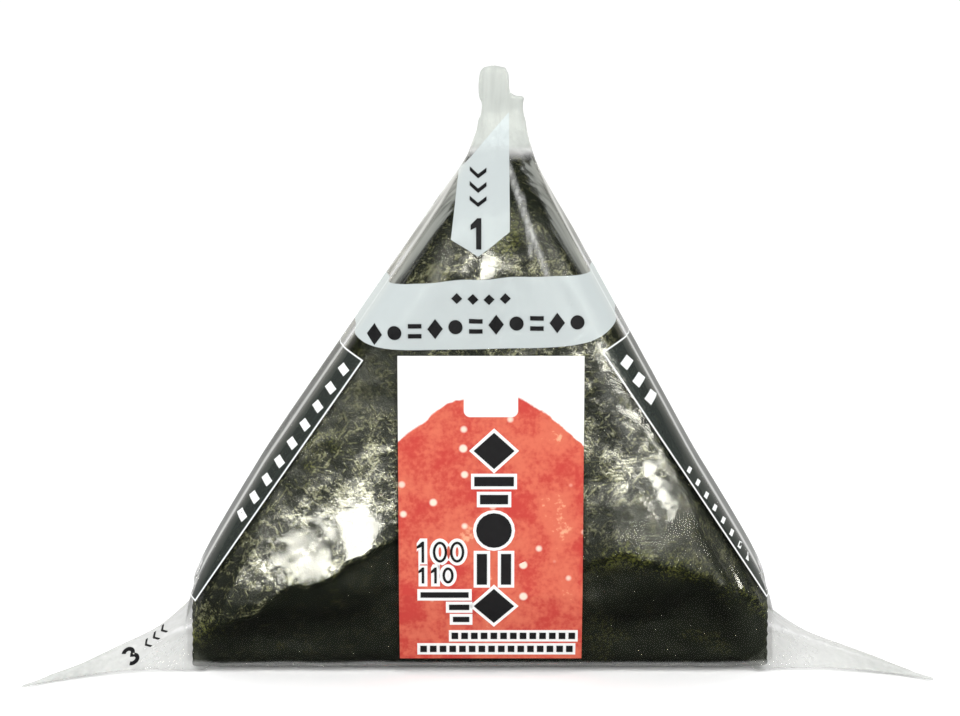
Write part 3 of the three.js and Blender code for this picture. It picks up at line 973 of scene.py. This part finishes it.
def lay_on(piece, target, lift, down=0):
    """Lays a flat piece on the front of another one, lift off it, from so many degrees above it."""
    deselect()
    piece.select_set(True)
    bpy.context.view_layer.objects.active = piece
    places = points_of(piece.data)
    low, high = places.min(axis=0), places.max(axis=0)
    bpy.ops.object.mode_set(mode="EDIT")
    for axis in (0, 2):
        for cut in np.arange(low[axis] + PITCH * MM / 2, high[axis], PITCH * MM):
            normal = [0, 0, 0]
            normal[axis] = 1
            bpy.ops.mesh.select_all(action="SELECT")
            bpy.ops.mesh.bisect(plane_co=[cut] * 3, plane_no=normal)
    bpy.ops.object.mode_set(mode="OBJECT")
    places = points_of(piece.data)
    towards = Vector((0, math.cos(math.radians(down)), -math.sin(math.radians(down))))
    for place in places:
        hit, spot = target.ray_cast(Vector(place) - STAND_OFF * towards, towards)[:2]
        place[:] = spot - lift * towards if hit else (place[0], BLOCK_Y, place[2])
    set_points(piece.data, places)
    apply_modifier(piece, "SOLIDIFY", thickness=INK, offset=0)


def ink_material(name, colour):
    """Ink that lies a little thicker in some places than in others."""
    material = bpy.data.materials.new(name)
    tree = nodes_of(material)
    at = add(tree, "ShaderNodeTexCoord").outputs["Object"]
    laid = add(tree, "ShaderNodeTexNoise", {"Vector": at, "Scale": 900, "Detail": 2}).outputs["Fac"]
    thinner = tuple(min(1, 1.1 * part + 0.004) for part in colour)
    shade = blend(tree, laid, colour, thinner)
    bump = add(tree, "ShaderNodeBump", {"Height": laid, "Strength": 0.3, "Distance": 0.02 * MM})
    sockets = {"Base Color": shade, "Roughness": 0.6, "Specular IOR Level": 0.05}
    sockets["Normal"] = bump.outputs[0]
    ink = add(tree, "ShaderNodeBsdfPrincipled", sockets)
    add(tree, "ShaderNodeOutputMaterial", {0: ink.outputs[0]})
    return material


black = ink_material("black_ink", BLACK_INK)
white = ink_material("white_ink", WHITE_INK)


def ink_marks(name, target, lift, material, outlines, down=0):
    """One piece of ink marks on the front of another piece."""
    piece = flat_piece(name, outlines)
    lay_on(piece, target, lift, down)
    piece.data.materials.clear()
    piece.data.materials.append(material)
    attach(piece, "root")


small_row = [lozenge(-3.6 + 2.5 * i, 61.2, 1.7, 1.7) for i in range(4)]
large_row = []
for i in range(11):
    x = -16.4 + 3.15 * i
    z = 57 + 0.06 * x - 0.002 * x * x
    if i % 3 == 1:
        large_row.append(oval(x, z, 2.2, 2.2))
    elif i % 3 == 2:
        large_row += [bar(x, z + 0.8, 2.1, 0.7), bar(x, z - 0.8, 2.1, 0.7)]
    else:
        large_row.append(lozenge(x, z, 2.4, 3.2))
ink_marks("band_marks", film, 0.05 * MM, black, small_row + large_row)

pulls = [chevron(-0.3, 75.2 + 1.9 * i, 2.6, 0.9, 0.55) for i in range(3)]
ink_marks("tab_marks", film, 0.1 * MM, black, pulls + one(-0.2, 71.2, 3.9, 0.8))
on_ear = turned(three(-56.3, -1.8, 2.7, 0.65), -56.3, -1.8, 40)
for i in range(3):
    x, z = -54.3 + 1.05 * i, 0.0 + 1.25 * i
    on_ear += turned([chevron(x, z, 1.7, 0.6, 0.4)], x, z, -50)
ink_marks("ear_marks", film, 0.1 * MM, black, on_ear, down=20)

# The slopes carry small white lozenges inside their frames, one size on the left and two on the right.
left_slope = [lozenge(-21.3 - 2.05 * i, 49.8 - 2.95 * i, 1.9, 1.9) for i in range(9)]
right_slope = [lozenge(22.9 + 1.95 * i, 50.9 - 2.85 * i, 2.2, 2.2) for i in range(3)]
right_slope += [lozenge(33.0 + 1.4 * i, 33.6 - 2.1 * i, 1.0, 1.0) for i in range(8)]
ink_marks("slope_marks", film, 0.12 * MM, white, left_slope + right_slope)

# On the label a column of plain shapes, plain numbers and rows of short bars, each on a white edge.
COLUMN_X = 2.2


def label_shapes(grow):
    """The outlines on the label, each wider by grow all round."""
    more = 2 * grow
    shapes = [lozenge(COLUMN_X, 37.3, 6.4 + 1.4 * more, 5.8 + 1.4 * more)]
    for z, wide in ((32.4, 6.2), (29.5, 4.4)):
        shapes.append(bar(COLUMN_X, z, wide + more, 1.5 + more))
    shapes.append(oval(COLUMN_X, 24.5, 5.6 + more, 5.6 + more))
    for x in (COLUMN_X - 1.9, COLUMN_X + 1.9):
        shapes.append(bar(x, 18.2, 1.6 + more, 5 + more))
    shapes.append(lozenge(COLUMN_X, 12.1, 6.4 + 1.4 * more, 5.8 + 1.4 * more))
    for x, z, wide in ((-5.6, 14, 7.6), (-3.3, 11.9, 3.2), (-3.0, 9.8, 2.6)):
        shapes.append(bar(x, z, wide + more, 0.9 + more))
    for figures, z, high in (((one, zero, zero), 21, 3.0), ((one, one, zero), 17.2, 2.2)):
        for i, figure in enumerate(figures):
            shapes += figure(-9 + 0.9 * high * i, z, high, 0.4 + more)
    return shapes


fine_print = [bar(-4 + 1.55 * i, 6.9, 1.05, 1.1) for i in range(13)]
fine_print += [bar(-9 + 1.55 * i, 4.6, 1.05, 1.1) for i in range(16)]
under_fine_print = [bar(5.3, 6.9, 20.5, 2), bar(2.6, 4.6, 25.2, 2)]
ink_marks("label_edges", label, 0.03 * MM, white, label_shapes(0.5) + under_fine_print)
ink_marks("label_marks", label, 0.09 * MM, black, label_shapes(0) + fine_print)
